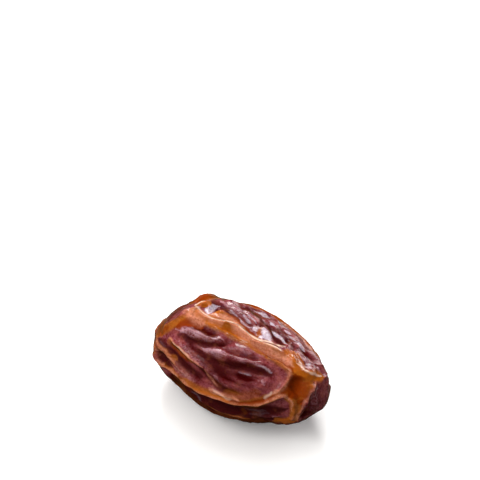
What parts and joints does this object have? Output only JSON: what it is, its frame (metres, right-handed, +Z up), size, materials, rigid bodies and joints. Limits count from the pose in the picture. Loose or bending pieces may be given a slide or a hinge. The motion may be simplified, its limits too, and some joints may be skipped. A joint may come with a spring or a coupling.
{
  "type": "medjool date",
  "caption": "Whole dried medjool date lying on its side, its loose skin drawn into raised folds round sunken wrinkled panels.",
  "frame": {"origin": "middle of the underside, on the surface that the date lies on", "axes": "+X along the date from its stem end to its tip, +Z up, -Y the side that shows in front"},
  "size_m": [0.047, 0.0303, 0.0246],
  "materials": {
    "date_skin": "Glossy, slightly translucent dried fruit skin: dark maroon in the panels, amber along the loose folds, lilac-grey sheen, nearly black on the shaded side"
  },
  "bodies": {
    "root": {"medjool_date": "date_skin"}
  },
  "joints": []
}
